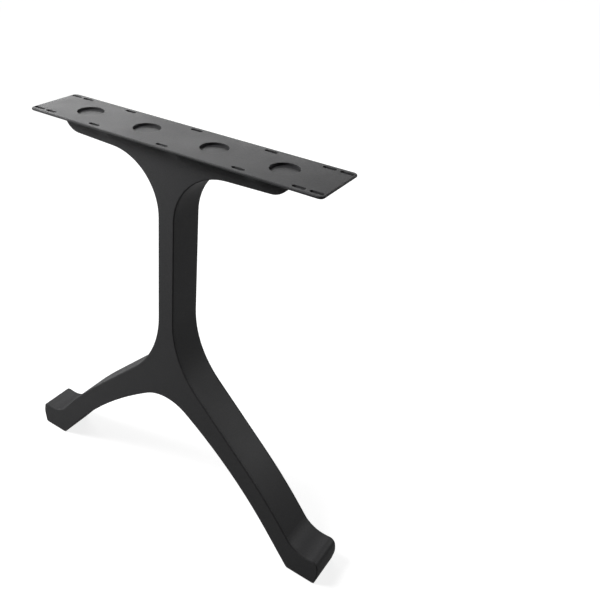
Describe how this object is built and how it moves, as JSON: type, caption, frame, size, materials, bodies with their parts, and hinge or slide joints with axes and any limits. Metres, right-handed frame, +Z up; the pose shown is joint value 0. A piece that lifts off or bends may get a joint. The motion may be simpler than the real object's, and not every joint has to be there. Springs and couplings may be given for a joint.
{
  "type": "wishbone table leg",
  "caption": "Welded steel wishbone table leg: a slotted mounting plate on a hollow Y-shaped stem with two spread feet and short upturned toes, in black powder coat.",
  "frame": {"origin": "on the floor, midway between the two feet and midway between the front and rear faces", "axes": "+X along the mounting plate, towards the right foot; +Y through the depth of the leg, from the front face to the rear face; +Z up, towards the table top"},
  "size_m": [0.6684, 0.106, 0.72],
  "materials": {
    "black_powder_coat": "satin black powder coat on mild steel"
  },
  "bodies": {
    "root": {"top_plate": "black_powder_coat", "front_profile_plate": "black_powder_coat", "rear_profile_plate": "black_powder_coat", "top_strip": "black_powder_coat", "left_side_strip": "black_powder_coat", "right_side_strip": "black_powder_coat", "arch_strip": "black_powder_coat", "left_foot_sole": "black_powder_coat", "right_foot_sole": "black_powder_coat"}
  },
  "joints": []
}
